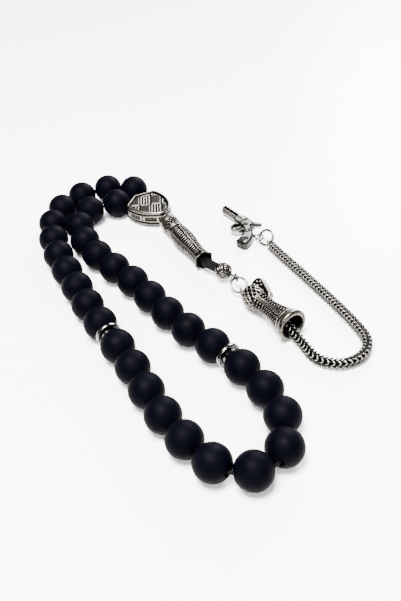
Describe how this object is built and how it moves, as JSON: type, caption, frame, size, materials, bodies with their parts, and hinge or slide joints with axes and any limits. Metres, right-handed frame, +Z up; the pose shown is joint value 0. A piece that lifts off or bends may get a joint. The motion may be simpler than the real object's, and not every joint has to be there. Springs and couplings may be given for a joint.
{
  "type": "misbaha prayer beads",
  "caption": "String of round matte black prayer beads with divider rings, a shield bead, a ribbed leader bead and a chain tassel with a bell cap and a small pistol charm.",
  "frame": {"origin": "on the table, under the centre of the box around the beads, the tail and the bell cap", "axes": "+Z up from the table, +Y along the loop of beads towards the shield bead, +X towards the tassel chain"},
  "size_m": [0.0771, 0.1514, 0.01],
  "materials": {
    "onyx_bead": "matte, sandblasted black onyx with a soft broad sheen",
    "antique_silver": "cast silver alloy, polished ridges and blackened recesses",
    "polished_silver": "polished silver-plated wire and discs",
    "chain_silver": "woven fine silver wire, oxidised between the strands",
    "black_cord": "waxed black polyester cord"
  },
  "bodies": {
    "cord_and_shield": {"bead_cord": "black_cord", "hanger_cord": "black_cord", "hanger_knot": "black_cord", "end_knot": "black_cord", "shield_bead": "antique_silver", "ball_pin": "polished_silver"},
    "bead_01": {"bead_01": "onyx_bead"},
    "bead_02": {"bead_02": "onyx_bead"},
    "bead_03": {"bead_03": "onyx_bead"},
    "bead_04": {"bead_04": "onyx_bead"},
    "bead_05": {"bead_05": "onyx_bead"},
    "bead_06": {"bead_06": "onyx_bead"},
    "bead_07": {"bead_07": "onyx_bead"},
    "bead_08": {"bead_08": "onyx_bead"},
    "bead_09": {"bead_09": "onyx_bead"},
    "bead_10": {"bead_10": "onyx_bead"},
    "bead_11": {"bead_11": "onyx_bead"},
    "bead_12": {"bead_12": "onyx_bead"},
    "bead_13": {"bead_13": "onyx_bead"},
    "bead_14": {"bead_14": "onyx_bead"},
    "bead_15": {"bead_15": "onyx_bead"},
    "bead_16": {"bead_16": "onyx_bead"},
    "bead_17": {"bead_17": "onyx_bead"},
    "bead_18": {"bead_18": "onyx_bead"},
    "bead_19": {"bead_19": "onyx_bead"},
    "bead_20": {"bead_20": "onyx_bead"},
    "bead_21": {"bead_21": "onyx_bead"},
    "bead_22": {"bead_22": "onyx_bead"},
    "bead_23": {"bead_23": "onyx_bead"},
    "bead_24": {"bead_24": "onyx_bead"},
    "bead_25": {"bead_25": "onyx_bead"},
    "bead_26": {"bead_26": "onyx_bead"},
    "bead_27": {"bead_27": "onyx_bead"},
    "bead_28": {"bead_28": "onyx_bead"},
    "bead_29": {"bead_29": "onyx_bead"},
    "bead_30": {"bead_30": "onyx_bead"},
    "bead_31": {"bead_31": "onyx_bead"},
    "bead_32": {"bead_32": "onyx_bead"},
    "bead_33": {"bead_33": "onyx_bead"},
    "spacer_ring_1": {"spacer_ring_1": "polished_silver"},
    "spacer_ring_2": {"spacer_ring_2": "polished_silver"},
    "imame_collar": {"imame_collar": "antique_silver"},
    "imame_minaret": {"imame_minaret": "antique_silver"},
    "knot_ball": {"knot_ball": "antique_silver"},
    "jump_ring_1": {"jump_ring_1": "polished_silver"},
    "bell_hanger": {"bell_pin": "polished_silver", "chain_ferrule": "chain_silver", "tassel_chain": "chain_silver", "chain_end_link": "polished_silver"},
    "bell_cap": {"bell_cap": "antique_silver"},
    "jump_ring_2": {"jump_ring_2": "polished_silver"},
    "pistol_charm": {"pistol_charm": "antique_silver"}
  },
  "joints": [
    {"name": "bead_01_spin", "type": "hinge", "parent": "cord_and_shield", "child": "bead_01", "pos_m": [0.00914, 0.06528, 0.005], "axis": [-0.5878, 0.809, 0], "continuous": true},
    {"name": "bead_02_spin", "type": "hinge", "parent": "cord_and_shield", "child": "bead_02", "pos_m": [0.00078, 0.07091, 0.005], "axis": [-0.9703, 0.2419, 0], "continuous": true},
    {"name": "bead_03_spin", "type": "hinge", "parent": "cord_and_shield", "child": "bead_03", "pos_m": [-0.0093, 0.07083, 0.005], "axis": [-0.9659, -0.2588, 0], "continuous": true},
    {"name": "bead_04_spin", "type": "hinge", "parent": "cord_and_shield", "child": "bead_04", "pos_m": [-0.01807, 0.06586, 0.005], "axis": [-0.7193, -0.6947, 0], "continuous": true},
    {"name": "bead_05_spin", "type": "hinge", "parent": "cord_and_shield", "child": "bead_05", "pos_m": [-0.02349, 0.05736, 0.005], "axis": [-0.3256, -0.9455, 0], "continuous": true},
    {"name": "bead_06_spin", "type": "hinge", "parent": "cord_and_shield", "child": "bead_06", "pos_m": [-0.02567, 0.04752, 0.005], "axis": [-0.1045, -0.9945, 0], "continuous": true},
    {"name": "bead_07_spin", "type": "hinge", "parent": "cord_and_shield", "child": "bead_07", "pos_m": [-0.02628, 0.03746, 0.005], "axis": [-0.0175, -0.9998, 0], "continuous": true},
    {"name": "bead_08_spin", "type": "hinge", "parent": "cord_and_shield", "child": "bead_08", "pos_m": [-0.02585, 0.02739, 0.005], "axis": [0.1045, -0.9945, 0], "continuous": true},
    {"name": "bead_09_spin", "type": "hinge", "parent": "cord_and_shield", "child": "bead_09", "pos_m": [-0.02505, 0.01734, 0.005], "axis": [0.0523, -0.9986, 0], "continuous": true},
    {"name": "bead_10_spin", "type": "hinge", "parent": "cord_and_shield", "child": "bead_10", "pos_m": [-0.02435, 0.00728, 0.005], "axis": [0.0872, -0.9962, 0], "continuous": true},
    {"name": "bead_11_spin", "type": "hinge", "parent": "cord_and_shield", "child": "bead_11", "pos_m": [-0.02321, -0.00273, 0.005], "axis": [0.1392, -0.9903, 0], "continuous": true},
    {"name": "bead_12_spin", "type": "hinge", "parent": "cord_and_shield", "child": "bead_12", "pos_m": [-0.02143, -0.01476, 0.005], "axis": [0.1564, -0.9877, 0], "continuous": true},
    {"name": "bead_13_spin", "type": "hinge", "parent": "cord_and_shield", "child": "bead_13", "pos_m": [-0.0202, -0.02476, 0.005], "axis": [0.0872, -0.9962, 0], "continuous": true},
    {"name": "bead_14_spin", "type": "hinge", "parent": "cord_and_shield", "child": "bead_14", "pos_m": [-0.01959, -0.03483, 0.005], "axis": [0.0349, -0.9994, 0], "continuous": true},
    {"name": "bead_15_spin", "type": "hinge", "parent": "cord_and_shield", "child": "bead_15", "pos_m": [-0.01853, -0.04485, 0.005], "axis": [0.1736, -0.9848, 0], "continuous": true},
    {"name": "bead_16_spin", "type": "hinge", "parent": "cord_and_shield", "child": "bead_16", "pos_m": [-0.01644, -0.05471, 0.005], "axis": [0.2419, -0.9703, 0], "continuous": true},
    {"name": "bead_17_spin", "type": "hinge", "parent": "cord_and_shield", "child": "bead_17", "pos_m": [-0.01299, -0.06418, 0.005], "axis": [0.4384, -0.8988, 0], "continuous": true},
    {"name": "bead_18_spin", "type": "hinge", "parent": "cord_and_shield", "child": "bead_18", "pos_m": [-0.00516, -0.07053, 0.005], "axis": [0.9703, -0.2419, 0], "continuous": true},
    {"name": "bead_19_spin", "type": "hinge", "parent": "cord_and_shield", "child": "bead_19", "pos_m": [0.00443, -0.06741, 0.005], "axis": [0.6428, 0.766, 0], "continuous": true},
    {"name": "bead_20_spin", "type": "hinge", "parent": "cord_and_shield", "child": "bead_20", "pos_m": [0.00853, -0.0582, 0.005], "axis": [0.1392, 0.9903, 0], "continuous": true},
    {"name": "bead_21_spin", "type": "hinge", "parent": "cord_and_shield", "child": "bead_21", "pos_m": [0.00853, -0.04812, 0.005], "axis": [-0.1392, 0.9903, 0], "continuous": true},
    {"name": "bead_22_spin", "type": "hinge", "parent": "cord_and_shield", "child": "bead_22", "pos_m": [0.00652, -0.03824, 0.005], "axis": [-0.2588, 0.9659, 0], "continuous": true},
    {"name": "bead_23_spin", "type": "hinge", "parent": "cord_and_shield", "child": "bead_23", "pos_m": [0.00271, -0.02673, 0.005], "axis": [-0.3907, 0.9205, 0], "continuous": true},
    {"name": "bead_24_spin", "type": "hinge", "parent": "cord_and_shield", "child": "bead_24", "pos_m": [-0.00099, -0.01735, 0.005], "axis": [-0.342, 0.9397, 0], "continuous": true},
    {"name": "bead_25_spin", "type": "hinge", "parent": "cord_and_shield", "child": "bead_25", "pos_m": [-0.00385, -0.00768, 0.005], "axis": [-0.225, 0.9744, 0], "continuous": true},
    {"name": "bead_26_spin", "type": "hinge", "parent": "cord_and_shield", "child": "bead_26", "pos_m": [-0.00603, 0.00216, 0.005], "axis": [-0.2079, 0.9781, 0], "continuous": true},
    {"name": "bead_27_spin", "type": "hinge", "parent": "cord_and_shield", "child": "bead_27", "pos_m": [-0.00838, 0.01196, 0.005], "axis": [-0.2588, 0.9659, 0], "continuous": true},
    {"name": "bead_28_spin", "type": "hinge", "parent": "cord_and_shield", "child": "bead_28", "pos_m": [-0.0115, 0.02154, 0.005], "axis": [-0.3584, 0.9336, 0], "continuous": true},
    {"name": "bead_29_spin", "type": "hinge", "parent": "cord_and_shield", "child": "bead_29", "pos_m": [-0.01453, 0.03116, 0.005], "axis": [-0.2419, 0.9703, 0], "continuous": true},
    {"name": "bead_30_spin", "type": "hinge", "parent": "cord_and_shield", "child": "bead_30", "pos_m": [-0.01611, 0.04111, 0.005], "axis": [-0.0698, 0.9976, 0], "continuous": true},
    {"name": "bead_31_spin", "type": "hinge", "parent": "cord_and_shield", "child": "bead_31", "pos_m": [-0.01532, 0.05116, 0.005], "axis": [0.225, 0.9744, 0], "continuous": true},
    {"name": "bead_32_spin", "type": "hinge", "parent": "cord_and_shield", "child": "bead_32", "pos_m": [-0.00939, 0.05932, 0.005], "axis": [0.8572, 0.515, 0], "continuous": true},
    {"name": "bead_33_spin", "type": "hinge", "parent": "cord_and_shield", "child": "bead_33", "pos_m": [0.00069, 0.05914, 0.005], "axis": [0.8387, -0.5446, 0], "continuous": true},
    {"name": "spacer_ring_1_spin", "type": "hinge", "parent": "cord_and_shield", "child": "spacer_ring_1", "pos_m": [-0.02237, -0.00871, 0.005], "axis": [0.1392, -0.9903, 0], "continuous": true},
    {"name": "spacer_ring_2_spin", "type": "hinge", "parent": "cord_and_shield", "child": "spacer_ring_2", "pos_m": [0.00496, -0.03241, 0.005], "axis": [-0.2588, 0.9659, 0], "continuous": true},
    {"name": "collar_slide", "type": "slide", "parent": "cord_and_shield", "child": "imame_collar", "axis": [0.0958, -0.9954, 0], "range_m": [0, 0.0025]},
    {"name": "minaret_spin", "type": "hinge", "parent": "imame_collar", "child": "imame_minaret", "pos_m": [0.01355, 0.0415, 0.00355], "axis": [0.0958, -0.9954, 0], "continuous": true},
    {"name": "ball_spin", "type": "hinge", "parent": "cord_and_shield", "child": "knot_ball", "pos_m": [0.01965, 0.00525, 0.00355], "axis": [0.3746, -0.9272, 0], "continuous": true},
    {"name": "ring_1_swing", "type": "hinge", "parent": "cord_and_shield", "child": "jump_ring_1", "pos_m": [0.02149, -0.00075, 0.00422], "axis": [0, 0, 1], "range_deg": [-5, 6]},
    {"name": "bell_swing", "type": "hinge", "parent": "jump_ring_1", "child": "bell_hanger", "pos_m": [0.02111, -0.00515, 0.00168], "axis": [0, 0, 1], "range_deg": [-6, 4]},
    {"name": "bell_spin", "type": "hinge", "parent": "bell_hanger", "child": "bell_cap", "pos_m": [0.0217, -0.0081, 0.00385], "axis": [0.2077, -0.977, 0.0488], "continuous": true},
    {"name": "ring_2_swing", "type": "hinge", "parent": "bell_hanger", "child": "jump_ring_2", "pos_m": [0.04031, 0.01449, 0.00142], "axis": [0, 0, 1], "range_deg": [-15, 12]},
    {"name": "charm_swing", "type": "hinge", "parent": "jump_ring_2", "child": "pistol_charm", "pos_m": [0.03865, 0.0188, 0.00199], "axis": [0, 0, 1], "range_deg": [-20, 15]}
  ]
}
